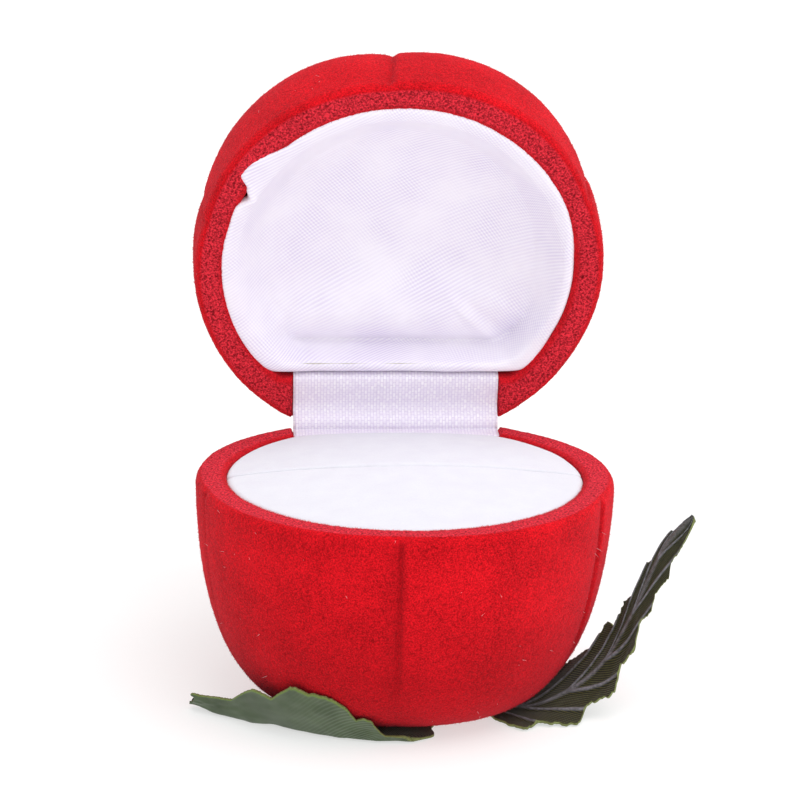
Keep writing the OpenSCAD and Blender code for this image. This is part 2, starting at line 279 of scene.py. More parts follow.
def flock_material():
    p = Paint("red_flock", Roughness=0.95, Specular_IOR_Level=0.12, Sheen_Weight=0.17, Sheen_Roughness=0.45,
              Sheen_Tint=rgb(255, 120, 140))
    rim = p.mark("rim")
    grain = p.noise(0.15, 2.0, 0.65)
    clump = p.noise(0.45, 3.0, 0.6)
    cloud = p.noise(5.5, 3.0, 0.5)
    tone = p.math("ADD", p.range(cloud, 0.3, 0.7, -0.13, 0.13), p.range(clump, 0.3, 0.7, -0.12, 0.12))
    tone = p.math("ADD", tone, p.range(grain, 0.32, 0.68, 0.08, 0.92))
    wall = p.mix(tone, rgb(140, 2, 9), rgb(243, 20, 34))
    # Painted shade: darker red in the petal seams and towards the cup's foot.
    wall = p.mix(p.range(p.mark("painted_shade"), 0, 1, 0, 0.42), wall, rgb(112, 2, 10))
    coarse = p.noise(0.2, 3.0, 0.7)
    rough_rim = p.mix(p.range(coarse, 0.36, 0.62), rgb(112, 6, 16), rgb(252, 54, 70))
    colour = p.mix(rim, wall, rough_rim)
    height = p.math("ADD", grain, p.math("MULTIPLY", coarse, p.range(rim, 0, 1, 0.3, 1.8)))
    return p.finish(Base_Color=colour, Normal=p.bump(height, 0.12, 0.8))


def fibre_material():
    p = Paint("flock_fibre", Roughness=0.8, Specular_IOR_Level=0.2, Sheen_Weight=0.3, Sheen_Roughness=0.4,
              Sheen_Tint=rgb(255, 150, 150))
    return p.finish(Base_Color=p.mix(p.noise(0.4, 2.0), rgb(176, 6, 18), rgb(240, 44, 58)))


def satin_material():
    p = Paint("lining_satin", Roughness=0.42, Specular_IOR_Level=0.5, Sheen_Weight=0.25, Sheen_Roughness=0.4,
              Anisotropic=0.0)
    solid = p.place
    p.weave_place()
    twill = p.stripes(62, 0.36)
    cross = p.stripes(-38, 0.30)
    patch = p.range(p.noise(7, 2.0, place=solid), 0.42, 0.6)
    weave = p.math("ADD", p.math("MULTIPLY", twill, p.range(patch, 0, 1, 1.0, 0.45)),
                   p.math("MULTIPLY", cross, p.range(patch, 0, 1, 0.1, 0.8)))
    tint = p.mix(p.range(weave, 0.15, 1.15), rgb(225, 216, 238), rgb(249, 246, 253))
    soft = p.mix(p.range(p.noise(6, 3.0, place=solid), 0.35, 0.65, 0, 0.75), tint, rgb(247, 243, 251))
    return p.finish(Base_Color=soft, Normal=p.bump(weave, 0.016, 0.6),
                    Roughness=p.range(p.noise(0.5, 2.0, place=solid), 0.3, 0.7, 0.36, 0.5))


def ribbon_material():
    p = Paint("ribbon_satin", Roughness=0.36, Specular_IOR_Level=0.55, Sheen_Weight=0.15,
              Sheen_Roughness=0.35)
    p.weave_place()
    # Floats of the satin weave: short upright dashes in staggered columns, coloured near white as painted
    # glints.
    upright = p.add("Mapping", {"Vector": p.place, "Rotation": (0, 0, math.radians(90))}).outputs["Vector"]
    brick = p.add("TexBrick", {
        "Vector": upright,
        "Color1": (1, 1, 1, 1), "Color2": (0.7, 0.7, 0.7, 1), "Mortar": (0, 0, 0, 1), "Scale": 1 / MM,
        "Mortar Size": 0.04, "Mortar Smooth": 0.6, "Brick Width": 0.55, "Row Height": 0.31}, offset=0.5)
    thread = brick.outputs["Color"]
    # Painted glints: noise sets how brightly each float is painted.
    painted_glint = p.range(p.noise(0.5, 3.0), 0.42, 0.62)
    weave = p.math("MULTIPLY", thread, p.range(painted_glint, 0, 1, 0.6, 1.0))
    colour = p.mix(weave, rgb(224, 213, 236), rgb(251, 247, 254))
    return p.finish(Base_Color=colour, Normal=p.bump(weave, 0.05, 0.8))


def pad_material():
    p = Paint("pad_velvet", Roughness=0.95, Specular_IOR_Level=0.1, Sheen_Weight=0.3, Sheen_Roughness=0.5)
    grain = p.noise(0.16, 3.0, 0.65)
    colour = p.mix(p.range(p.noise(2.2, 3.0), 0.3, 0.7), rgb(219, 218, 226), rgb(223, 223, 229))
    colour = p.mix(p.range(grain, 0.3, 0.7, 0.25, 0), colour, rgb(201, 199, 211))
    return p.finish(Base_Color=colour, Normal=p.bump(grain, 0.06, 0.5))


def leaf_materials():
    """Front, back and cut edge of the leaf fabric."""
    p = Paint("leaf_front", Roughness=0.5, Specular_IOR_Level=0.35, Sheen_Weight=0.2, Sheen_Roughness=0.5)
    solid = p.place
    p.weave_place()
    rib = p.math("MULTIPLY", p.stripes(33, 0.46, 2.0), p.range(p.mark("along"), 0.3, 0.52, 0.7, 0.0))
    tone = p.range(p.noise(2.6, 3.0, place=solid), 0.3, 0.7)
    colour = p.mix(tone, rgb(52, 68, 38), rgb(76, 92, 62))
    colour = p.mix(p.range(rib, 0, 1, 0.0, 0.5), colour, rgb(110, 128, 98))
    colour = p.mix(p.mark("edge"), colour, rgb(104, 132, 40))
    front = p.finish(Base_Color=colour, Normal=p.bump(rib, 0.06, 0.8))

    p = Paint("leaf_back", Roughness=0.7, Specular_IOR_Level=0.25, Sheen_Weight=0.15, Sheen_Roughness=0.5)
    solid = p.place
    p.weave_place()
    weave = p.math("MULTIPLY", p.stripes(35, 0.26), p.stripes(-55, 0.26))
    tone = p.range(p.noise(1.4, 3.0, place=solid), 0.3, 0.7)
    dark = p.mix(tone, rgb(13, 15, 4), rgb(30, 32, 11))
    # The weave pattern is the cloth's own; its crossings are painted light yellow-green as glints.
    cloth_and_painted_glints = p.mix(p.range(weave, 0.3, 0.95, 0, 0.85), dark, rgb(104, 102, 40))
    grey = p.mix(p.range(p.noise(0.35, 2.0, place=solid), 0.3, 0.7), rgb(84, 86, 90), rgb(136, 136, 146))
    colour = p.mix(p.range(p.mark("vein"), 0.3, 0.85, 0, 0.85), cloth_and_painted_glints, grey)
    colour = p.mix(p.range(p.mark("edge"), 0, 1, 0, 0.5), colour, rgb(70, 74, 30))
    back = p.finish(Base_Color=colour, Normal=p.bump(weave, 0.06, 0.8))

    p = Paint("leaf_edge", Roughness=0.8, Specular_IOR_Level=0.2)
    frayed = p.mix(p.noise(0.3, 2.0), rgb(70, 64, 34), rgb(150, 164, 104))
    edge = p.finish(Base_Color=frayed)
    return [front, back, edge]


def steel_material():
    p = Paint("hinge_steel", Metallic=1.0, Roughness=0.3, Specular_IOR_Level=0.5)
    brush = p.noise(0.25, 3.0, stretch=(0.15, 1, 1))
    colour = p.mix(p.noise(1.5, 3.0), rgb(186, 184, 182), rgb(222, 220, 216))
    return p.finish(Base_Color=colour, Roughness=p.range(brush, 0.3, 0.7, 0.22, 0.42),
                    Normal=p.bump(brush, 0.01, 0.6))


def card_material():
    p = Paint("grey_card", Roughness=0.9, Specular_IOR_Level=0.2)
    fleck = p.noise(0.35, 4.0, 0.7)
    colour = p.mix(p.range(fleck, 0.35, 0.65), rgb(184, 178, 166), rgb(214, 210, 200))
    return p.finish(Base_Color=colour, Normal=p.bump(fleck, 0.03, 0.6))


def wadding_material():
    p = Paint("wadding", Roughness=1.0, Specular_IOR_Level=0.05, Sheen_Weight=0.3)
    tuft = p.noise(0.5, 4.0, 0.7)
    return p.finish(Base_Color=p.mix(tuft, rgb(226, 226, 230), rgb(250, 250, 250)),
                    Normal=p.bump(tuft, 0.1, 0.8))


def glue_material():
    p = Paint("hot_glue", Roughness=0.28, Specular_IOR_Level=0.5, Subsurface_Weight=0.3,
              Subsurface_Radius=(0.002, 0.0014, 0.0008))
    cloud = p.noise(2.2, 3.0)
    return p.finish(Base_Color=p.mix(cloud, rgb(214, 196, 150), rgb(236, 224, 190)),
                    Normal=p.bump(p.noise(1.2, 2.0), 0.08, 0.7))


def lint_material():
    p = Paint("lint", Roughness=0.7, Specular_IOR_Level=0.3, Sheen_Weight=0.2)
    return p.finish(Base_Color=p.mix(p.noise(0.6), rgb(236, 170, 176), rgb(252, 240, 244)))


RED, FIBRE, SATIN, RIBBON, PAD = (f() for f in (
    flock_material, fibre_material, satin_material, ribbon_material, pad_material))
LEAF = leaf_materials()
STEEL, CARD, WADDING, GLUE, LINT = (f() for f in (
    steel_material, card_material, wadding_material, glue_material, lint_material))


# ---- shell outlines, as in the CAD ----
def from_middle(a, turn):
    s = (a - turn) / PETAL_ANGLE
    return (s - np.floor(s) - 0.5) * PETAL_ANGLE


def petal_ring(a, turn, shift):
    m = np.radians(from_middle(a, turn))
    return shift * np.cos(m) + np.sqrt((1 - shift) ** 2 - (shift * np.sin(m)) ** 2)


def cup_side(h):
    return SHELL_R * (1 - (h / (CUP_H * 1.0355)) ** 1.9) ** (1 / 5.5)


def dome_side(h):
    return SHELL_R * (1 - (h / DOME_H) ** 3) ** (1 / 3)


def edge_in(h):
    return RIM_ROUND * np.maximum(0, 1 - h / (2 * RIM_ROUND)) ** 2


def reach(e, width, height):
    e = np.radians(e)
    return ((np.cos(e) / width) ** 3 + (np.sin(e) / height) ** 3) ** (-1 / 3)


def shoulder_shift(e):
    return PETAL_SHIFT + (BUD_SHIFT - PETAL_SHIFT) * np.minimum(1, e / 50) ** 1.5


def soft_max(a, b, width):
    return (a + b + np.sqrt((a - b) ** 2 + width**2)) / 2


def lid_reach(a, e):
    petals = reach(e, SHELL_R * petal_ring(a, SEAM_TURN + BUD_TWIST * e / 40, shoulder_shift(e)), DOME_H)
    bud = reach(e, BUD_WIDTH * SHELL_R * petal_ring(a, SEAM_TURN + PETAL_ANGLE / 2, BUD_PETALS), BUD_H)
    return soft_max(petals, bud, 0.12)


def around(a, r, z, y_max):
    """Points at azimuth a and radius r, held softly in front of the flattened back."""
    a = np.radians(a)
    y = -r * np.cos(a)
    y = y_max - soft_max(y_max - y, 0 * y, 0.25) + 0.002
    return np.stack([r * np.sin(a), y, z + 0 * r], -1)


def seam_relief(a, r, turn, size):
    """Height of the petals' edges: each petal's edge stands over the next one's, with a furrow between."""
    s = (a - turn) / PETAL_ANGLE
    d = (s - np.round(s)) * math.radians(PETAL_ANGLE) * r
    over = np.where(d > 0, np.exp(-np.abs(d) / 2.2), -np.exp(-np.abs(d) / 1.2)) * np.tanh(np.abs(d) / 0.22)
    return size * (0.15 * over - 0.2 * np.exp(-((d / 0.34) ** 2)))


# Painted shade along each petal seam: a dark line in the furrow, and a darker band on the lower petal's side
# under the step.
def seam_painted_shade(a, r, turn, size):
    s = (a - turn) / PETAL_ANGLE
    d = (s - np.round(s)) * math.radians(PETAL_ANGLE) * r
    return size * (np.exp(-((d / 0.32) ** 2)) + 0.4 * np.exp(-(((d + 0.7) / 0.7) ** 2)))


def rim_crown(t):
    """Height of a rim's face over its edges, rounded off at the inner edge."""
    return 0.05 * math.sin(math.pi * min(1, 1.3 * t)) - 0.22 * max(0, (t - 0.82) / 0.18) ** 2


def rim_band(t):
    """The darker speckled middle of a rim; t runs from its outer to its inner edge."""
    return smooth_step(t, 0.0, 0.1) * (1 - 0.75 * smooth_step(t, 0.72, 0.9))


def rear_drop(x):
    """Depth of the notch in the back of a rim that the ribbon and the hinge leaf lie in."""
    x = np.abs(x)
    return 0.55 * (1 - smooth_step(x, 10.15, 10.4)) + 0.5 * (1 - smooth_step(x, 7.6, 7.9))


AZIMUTHS = np.arange(840) * 360 / 840


def notched(p, front, sign):
    """Sinks the rear of a rim. z is measured from the hinge plane; sign is -1 for the cup."""
    reachable = 3.0
    depth = rear_drop(p[..., 0]) * smooth_step(p[..., 1], front - 0.9, front - 0.6)
    h = sign * p[..., 2]
    h = np.where(h < reachable, depth + h * (reachable - depth) / reachable, h)
    return np.concatenate([p[..., :2], (sign * h)[..., None]], -1)


def flock_relief(rim_grain):
    def relief(p):
        rim = rim_grain(p)
        wall = 0.03 * noise(p, 0.24, 1) + 0.016 * noise(p, 0.5, 2) + 0.03 * noise(p, 3.5, 3)
        coarse = 0.045 * noise(p, 0.26, 4) + 0.02 * noise(p, 0.6, 5)
        return wall + rim * coarse
    return relief


def cup_rings():
    """Rings of the cup: up the outside, over the rim and down the inside, z from the hinge plane."""
    a = AZIMUTHS
    rings, rim, painted_shade = [], [], []
    for k in np.linspace(0, 1, 110):
        h = CUP_H - (CUP_H - RIM_GAP) * k
        r = (cup_side(h) - edge_in(h)) * petal_ring(a, SEAM_TURN, PETAL_SHIFT)
        fade = smooth_step(CUP_H - h, 3.0, 9.0) * smooth_step(h, 0.0, 1.2)
        ring = around(a, r + seam_relief(a, r, SEAM_TURN, fade), -h, REAR_Y)
        ring[:, 0] -= CUP_LEAN * (h / CUP_H) ** 1.5
        rings.append(ring)
        rim.append(0.0)
        # Painted shade: dark lines in the petal seams, and the flock darker towards the foot.
        painted_shade.append(seam_painted_shade(a, r, SEAM_TURN, fade) + FOOT_PAINTED_SHADE * smooth_step(h, 5, 20))
    outer = rings[-1]
    inner = around(a, RIM_INNER + 0 * a, -RIM_GAP, WALL_Y)
    for t in np.linspace(0, 1, 16)[1:]:
        p = outer + (inner - outer) * t
        p[..., 2] = -RIM_GAP + rim_crown(t)
        rings.append(p)
        rim.append(rim_band(t))
    depth = CUP_H - FLOOR_T
    for k in np.linspace(0, 1, 22)[1:]:
        h = RIM_GAP + 0.22 + (depth - RIM_GAP - 0.22) * k**1.4
        inside = min(cup_side(h), SHELL_R - RIM_ROUND) - WALL
        inside += (RIM_INNER - SHELL_R + RIM_ROUND + WALL) * (1 - smooth_step(h, 0.5, 3.0))
        rings.append(around(a, inside + 0 * a, -h, WALL_Y))
        rim.append(0.25)
    painted_shade += [0 * a] * (len(rings) - len(painted_shade))
    return np.array(rings), np.repeat(rim, len(a)), np.concatenate(painted_shade)


def lid_rings():
    """Rings of the lid from its roof inside, down to the rim and over the outside to the top of the bud."""
    a = AZIMUTHS
    rings, rim, painted_shade = [], [], []
    rear = smooth_step(-np.cos(np.radians(a)), 0.3, 0.7)
    for k in np.linspace(1, 0, 24)[:-1]:
        h = RIM_GAP + 0.22 + (ROOF_Z - RIM_GAP - 0.22) * k**1.4
        inside = min(dome_side(h), SHELL_R - RIM_ROUND) - WALL
        inside += (RIM_INNER - SHELL_R + RIM_ROUND + WALL) * (1 - smooth_step(h, 0.5, 3.0))
        rings.append(around(a, inside + 0 * a, h, WEB_Y))
        rim.append(0.25)
    inner = around(a, RIM_INNER + 0 * a, RIM_GAP, WEB_Y)
    full = 1 + rear * (1.008 - petal_ring(a, SEAM_TURN, PETAL_SHIFT))    # the petals are fuller behind
    rim_r = (SHELL_R - edge_in(RIM_GAP)) * petal_ring(a, SEAM_TURN, PETAL_SHIFT) * full
    outer = around(a, rim_r, RIM_GAP, REAR_Y)
    for t in np.linspace(1, 0, 18):
        p = outer + (inner - outer) * t
        p[..., 2] = RIM_GAP - rim_crown(t)
        rings.append(p)
        rim.append(rim_band(t))
    painted_shade += [0 * a] * len(rings)
    for e in np.concatenate([np.linspace(0.9, 3.2, 7), np.linspace(4, 88.5, 125)]):
        far = lid_reach(a, e) * (1 + (full - 1) * (1 - smooth_step(e, 10, 45)))
        h = far * math.sin(math.radians(e))
        shoulder = 0.45 * math.exp(-(((e - 22) / 14) ** 2)) * (0.35 + 0.65 * np.abs(np.sin(np.radians(a))))
        r = far * math.cos(math.radians(e)) - edge_in(h) + shoulder
        turn = SEAM_TURN + BUD_TWIST * e / 40
        fade = smooth_step(h, 0.2, 1.5) * (1 - smooth_step(e, 50, 62))
        rings.append(around(a, r + seam_relief(a, r, turn, fade), h, REAR_Y))
        rim.append(0.0)
        # Painted shade in the lid's petal seams.
        painted_shade.append(seam_painted_shade(a, r, turn, 0.6 * fade))
    return np.array(rings), np.repeat(rim, len(a)), np.concatenate(painted_shade)


def scatter(obj, density, keep=None):
    """Random places on a piece's surface, per square millimetre, with their normals."""
    mesh = obj.data
    mesh.calc_loop_triangles()
    tris = np.zeros(len(mesh.loop_triangles) * 3, int)
    mesh.loop_triangles.foreach_get("vertices", tris)
    co = np.zeros(len(mesh.vertices) * 3)
    mesh.vertices.foreach_get("co", co)
    corner = (co.reshape(-1, 3) / MM)[tris.reshape(-1, 3)]
    cross = np.cross(corner[:, 1] - corner[:, 0], corner[:, 2] - corner[:, 0])
    area = np.linalg.norm(cross, axis=1) / 2
    middle = corner.mean(1)
    wanted = density * area * (1 if keep is None else keep(middle, cross / (2 * area[:, None] + 1e-12)))
    pick = rng.choice(len(area), int(wanted.sum()), p=wanted / wanted.sum())
    u, v = rng.random((2, len(pick), 1))
    flip = u + v > 1
    u, v = np.where(flip, 1 - u, u), np.where(flip, 1 - v, v)
    p = corner[pick, 0] * (1 - u - v) + corner[pick, 1] * u + corner[pick, 2] * v
    return p, normals_of(mesh)[tris.reshape(-1, 3)[pick, 0]]


def fibres(name, p, n, length, lean, thick, material, pull=0.0):
    """Short fibres standing on a surface, each a slim closed pyramid. pull leans them all one way."""
    count = len(p)
    spread = rng.normal(size=(count, 3))
    tip = n + lean * spread + pull
    tip /= np.linalg.norm(tip, axis=1)[:, None]
    tip = p + tip * (length * rng.uniform(0.55, 1.15, (count, 1)))
    side = np.cross(n, rng.normal(size=(count, 3)))
    side /= np.linalg.norm(side, axis=1)[:, None] + 1e-9
    other = np.cross(n, side)
    foot = p - 0.06 * n
    corners = [foot + thick * (math.cos(w) * side + math.sin(w) * other) for w in np.radians([0, 120, 240])]
    points = np.stack([*corners, tip], 1).reshape(-1, 3)
    first = 4 * np.arange(count)[:, None]
    sides = (0, 1, 3), (1, 2, 3), (2, 0, 3), (0, 2, 1)
    faces = np.concatenate([first + np.array(f) for f in sides]).tolist()
    return add_mesh(name, points, faces, [material])


def make_shells():
    rings, rim, painted_shade = cup_rings()
    rings = notched(rings, WALL_Y, -1) + [0, 0, RIM_Z]
    points, faces = closed_stack(rings, [0, 0, GLUE_T], [0, 0, RIM_Z - CUP_H + FLOOR_T])
    marks = {"rim": np.concatenate([[0], rim, [0]]), "painted_shade": np.concatenate([[0], painted_shade, [0]])}
    base = add_mesh("flocked_cup", points, faces, [RED], marks=marks,
                    relief=flock_relief(lambda p: marks["rim"]))
    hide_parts("base_shell")

    rings, rim, painted_shade = lid_rings()
    rings = on_open_lid(notched(rings, WEB_Y, 1))
    ends = on_open_lid(np.array([[0, 0, ROOF_Z], [0, 0, BUD_H]], float))
    points, faces = closed_stack(rings, ends[0], ends[1])
    marks_lid = {"rim": np.concatenate([[0], rim, [0]]), "painted_shade": np.concatenate([[0], painted_shade, [0]])}
    lid = add_mesh("flocked_lid", points, faces, [RED], marks=marks_lid,
                   relief=flock_relief(lambda p: marks_lid["rim"]))
    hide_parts("lid_shell")
    return base, lid


base_shell, lid_shell = make_shells()


# ---- outlines of the soft parts ----
def ray_outline(centre, angles, radius, walls, hardness):
    """Distance from centre along each angle to a circle about the origin, cut by straight walls.
    A wall is (x, y, distance) of its outward normal; hardness sets how sharp the corners are."""
    d = np.stack([np.sin(angles), -np.cos(angles)], -1)
    b = d @ np.array(centre)
    far = -b + np.sqrt(b * b - np.dot(centre, centre) + radius**2)
    total = far ** (-1.0 * hardness)
    for x, y, distance in walls:
        along = d @ np.array([x, y])
        gap = distance - np.dot([x, y], centre)
        total = total + (np.maximum(along, 1e-6) / gap) ** hardness
    return total ** (-1 / hardness), d


def smooth_path(points, count):
    """A Catmull-Rom curve through given points, evenly stepped along its length."""
    p = np.array(points, float)
    p = np.concatenate([[2 * p[0] - p[1]], p, [2 * p[-1] - p[-2]]])
    out = []
    for i in range(1, len(p) - 2):
        s = np.linspace(0, 1, 24, endpoint=False)[:, None]
        out.append(0.5 * (2 * p[i] + (p[i + 1] - p[i - 1]) * s
                          + (2 * p[i - 1] - 5 * p[i] + 4 * p[i + 1] - p[i + 2]) * s**2
                          + (3 * p[i] - p[i - 1] - 3 * p[i + 1] + p[i + 2]) * s**3))
    out = np.concatenate([*out, [p[-2]]])
    length = np.concatenate([[0], np.cumsum(np.linalg.norm(np.diff(out, axis=0), axis=1))])
    steps = np.linspace(0, length[-1], count)
    return np.stack([np.interp(steps, length, out[:, k]) for k in range(out.shape[1])], -1), length[-1]


def lining_profiles():
    """(distance in from the outline, depth below the rim) from behind the lip to the middle of the panel:
    for the straight side, where the cloth turns a corner, and for the round sides, a shallow bowl."""
    straight = [
        [-0.32, 1.4], [-0.3, 1.0], [-0.14, 0.64], [0.1, 0.44], [0.4, 0.4], [0.66, 0.5], [0.82, 0.8],
        [0.88, 1.4], [0.9, 2.6], [0.94, 3.8], [1.0, 4.5], [1.16, 4.8], [1.4, 4.7], [1.8, 4.3],
        [2.4, 3.9], [3.1, 3.62], [3.9, 3.5], [4.9, 3.62], [6.2, 4.05], [8.0, 4.8], [10.5, 5.6], [13.5, 6.1],
        [16.5, 6.25]]
    bowl = [
        [-0.32, 1.1], [-0.3, 0.7], [-0.2, 0.32], [-0.02, 0.12], [0.2, 0.05], [0.42, 0.06], [0.62, 0.12],
        [0.85, 0.2], [1.1, 0.32], [1.4, 0.5], [1.75, 0.9], [2.15, 1.45], [2.6, 2.05], [3.1, 2.65],
        [3.7, 3.35], [4.4, 3.8], [5.2, 4.2], [6.1, 4.6], [7.2, 5.0], [8.6, 5.4], [10.8, 5.85], [13.5, 6.15],
        [16.5, 6.25]]
    return smooth_path(straight, 150)[0], smooth_path(bowl, 150)[0]


def bell(x, middle, width):
    return np.exp(-(((x - middle) / width) ** 2))


def make_lining():
    a = np.arange(720) * 2 * math.pi / 720
    side = (np.degrees(a) + 180) % 360 - 180           # 0 at the front, 180 or -180 at the straight side
    centre = (-0.2, -1.0)
    straight, bowl = lining_profiles()
    to_straight = 180 - np.abs(side)
    share = 1 - smooth_step(to_straight, 36, np.where(side > 0, 80, 54))
    profile = bowl[:, None] + (straight - bowl)[:, None] * share[None, :, None]
    inward, deep = profile[..., 0], profile[..., 1]
    # Cloth lies along the profile, so the weave's place counts the walls' height as well.
    step = np.hypot(np.diff(inward, axis=0), np.diff(deep, axis=0)) - np.diff(inward, axis=0)
    taken_up = np.concatenate([np.zeros((1, len(a))), np.cumsum(step, axis=0)])
    taken_up = taken_up[-1] - taken_up
    # A tuck of cloth laid over the rim, with a slit beside it, and the lip held in on the other side.
    tuck = smooth_step(side, -62.5, -59) * (1 - smooth_step(side, -57, -40))
    slit = bell(side, -66, 2.4)
    tight = smooth_step(side, 72, 92) * (1 - smooth_step(side, 118, 132))
    folds = 0.26 * bell(side, 139, 2.6) - 0.22 * bell(side, 133, 3.0) + 0.2 * bell(side, 124, 3.0) \
        + 0.18 * bell(side, -137, 3.5) - 0.12 * bell(side, -128, 4.0)
    rings, weave = [], []
    turn_in = 7.0
    for s, z, extra in zip(inward, deep, taken_up):
        near = np.minimum(s, turn_in)
        lip = 1 - smooth_step(s, 0.4, 1.6)
        # Where the cloth turns down steeply on a round side it stays inside the card.
        radius = 17.15 + lip * (1.15 * tuck - 0.85 * slit - 0.4 * tight)
        radius = radius - 0.8 * share * smooth_step(s, 0.3, 0.85)
        rho, d = ray_outline(centre, a, radius - near, [(0, 1, 11.75 - near)],
                             44 - 36 * np.minimum(1, np.maximum(0, near) / 4))
        r = rho * (16.51 - np.maximum(s, turn_in)) / (16.51 - turn_in)
        x, y = centre[0] + r * d[:, 0], centre[1] + r * d[:, 1]
        z = z - 0.12 * lip * tuck - folds * smooth_step(s, 0.6, 1.8) * (1 - smooth_step(s, 3.5, 7.5))
        rings.append(np.stack([x, y, z], -1))
        weave.append(np.stack([x + extra * d[:, 0], y + extra * d[:, 1]], -1))
    p, weave = np.array(rings)[::-1], np.array(weave)[::-1]      # from the middle out over the lip
    flat = np.concatenate([p[..., :2], 0 * p[..., :1]], -1)
    lip = 1 - smooth_step(p[..., 2], 0.3, 1.5)
    slack = smooth_step(16.8 - np.hypot(p[..., 0], p[..., 1]), 1.0, 3.0)
    p[..., 2] += slack * (0.20 * noise(flat, 6.5, 21) + 0.07 * noise(flat, 2.6, 22))
    p[..., 2] += 0.04 * lip * noise(flat, 1.6, 23)
    back = p + [0, 0, 0.2]
    rings = np.concatenate([p, back[::-1][2:]])
    weave = np.concatenate([weave, weave[::-1][2:]])
    middle = [*centre, p[0, 0, 2]]
    points, faces = closed_stack(rings, middle, [*centre, p[0, 0, 2] + 0.2])
    uv = np.concatenate([[centre], weave.reshape(-1, 2), [centre]]) * MM
    satin = add_mesh("satin_lining", on_open_lid(points), faces, [SATIN], uv=uv)
    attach(satin, "lid")
    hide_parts("lining_satin")
    return satin


lining = make_lining()


# ---- ribbon ----
def make_ribbon():
    low = [(0, y, z) for y, z in ((13.95, -7.8), (13.95, -4), (13.95, -1.2), (14.15, -0.5), (14.7, -0.42),
                                  (15.6, -0.42))]
    roll = 1.16                                        # clear of the hinge knuckles
    bend = [(0, HINGE_Y - roll * math.cos(w), roll * math.sin(w))
            for w in np.radians([-18, 0, 20, 40, 60, 78])]
    high = [(0, y, z) for y, z in ((15.4, 0.42), (14.2, 0.4), (13.1, 0.4), (12.5, 0.62), (12.3, 1.4),
                                   (12.3, 3), (12.3, 5.2))]
    lid_part = on_open_lid(np.array(high, float)) - [0, 0, RIM_Z]
    path, length = smooth_path([*low, *bend, *lid_part.tolist()], 220)
    path = path + [0, 0, RIM_Z]
    along = np.gradient(path, axis=0)
    along /= np.linalg.norm(along, axis=1)[:, None]
    out = np.cross(along, [1, 0, 0])                 # towards the front and the top
    x = np.linspace(-RIBBON_W / 2, RIBBON_W / 2, 61)
    s = np.linspace(0, length, len(path))
    centre = path[:, None, :] + x[None, :, None] * [1, 0, 0]
    sample = np.stack(np.broadcast_arrays(x[None, :], s[:, None], 0), -1)
    wave = 0.05 * noise(sample, 5.0, 31) + 0.015 * noise(sample, 1.5, 32)
    selvage = 0.05 * smooth_step(np.abs(sample[..., 0]), RIBBON_W / 2 - 0.5, RIBBON_W / 2 - 0.2)
    middle = centre + out[:, None, :] * wave[..., None]
    half = (0.09 + selvage / 2)[..., None] * out[:, None, :]
    points, faces, side = slab(middle + half, middle - half)
    uv = np.tile(sample[..., :2].reshape(-1, 2) * MM, (2, 1))
    ribbon = add_mesh("satin_ribbon", points, faces, [RIBBON], uv=uv)
    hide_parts("ribbon_lower", "ribbon_upper")
    return ribbon, length


ribbon, ribbon_length = make_ribbon()


# ---- ring pad ----
def pad_half(name, node, centre, walls, radius):
    a = np.arange(360) * 2 * math.pi / 360
    rho, d = ray_outline(centre, a, radius, walls, 60)
    top_r, crown, edge = 16.95, 0.9, -0.28
    cap = (top_r**2 + (crown - edge) ** 2) / (2 * (crown - edge))
    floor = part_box(node)[0].z / MM
    rings = []
    rounding = 0.55
    inward = np.concatenate([np.linspace(1, 0.12, 40), 0.12 * np.linspace(1, 0, 16)[1:]])
    for t in inward:
        r = rho * (1 - t)
        x, y = centre[0] + r * d[:, 0], centre[1] + r * d[:, 1]
        s = np.clip(t * rho * 0.9, 0, rounding)
        drop = rounding * (1 - np.sqrt(np.maximum(0, 1 - (1 - s / rounding) ** 2)))
        z = RIM_Z + crown - cap + np.sqrt(cap**2 - x * x - y * y) - drop * 0.85
        rings.append(np.stack([x, y, z], -1))
    rim = rings[-1]
    taper = 0.05
    for k in np.linspace(0, 1, 14)[1:]:
        r = rho * (1 - taper * k)
        z = rim[:, 2] + (floor - rim[:, 2]) * k
        rings.append(np.stack([centre[0] + r * d[:, 0], centre[1] + r * d[:, 1], z], -1))
    for t in (taper + 0.02, 0.4, 0.8):
        r = rho * (1 - t)
        rings.append(np.stack([centre[0] + r * d[:, 0], centre[1] + r * d[:, 1], floor + 0 * r], -1))
    rings = np.array(rings)[1:]
    top = [*centre, RIM_Z + crown - cap + math.sqrt(cap**2 - centre[0] ** 2 - centre[1] ** 2)]
    points, faces = closed_stack(rings, top, [*centre, floor])
    faces = [f[::-1] for f in faces]
    pad = add_mesh(name, points, faces, [PAD],
                   relief=lambda p: 0.05 * noise(p, 4.0, 41) + 0.012 * noise(p, 0.35, 42))
    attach(pad, "base")
    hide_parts(node)
    return pad


SLOT = 0.09
pad_half("foam_pad_front", "pad_front", (0, -7.4), [(0, 1, -SLOT)], 16.95)
pad_half("foam_pad_rear", "pad_rear", (0, 6.6), [(0, -1, -SLOT), (0, 1, 13.8)], 16.95)


# ---- leaves ----
def curve_at(p, t):
    """Points of a Catmull-Rom curve through given points; t runs from 0 to the last index."""
    p = np.array(p, float)
    i = np.minimum(np.floor(t), len(p) - 2).astype(int)
    s = (t - i)[:, None]
    a, b, c, d = p[np.maximum(0, i - 1)], p[i], p[i + 1], p[np.minimum(len(p) - 1, i + 2)]
    return 0.5 * (2 * b + (c - a) * s + (2 * a - 5 * b + 4 * c - d) * s**2 + (3 * b - a - 3 * c + d) * s**3)


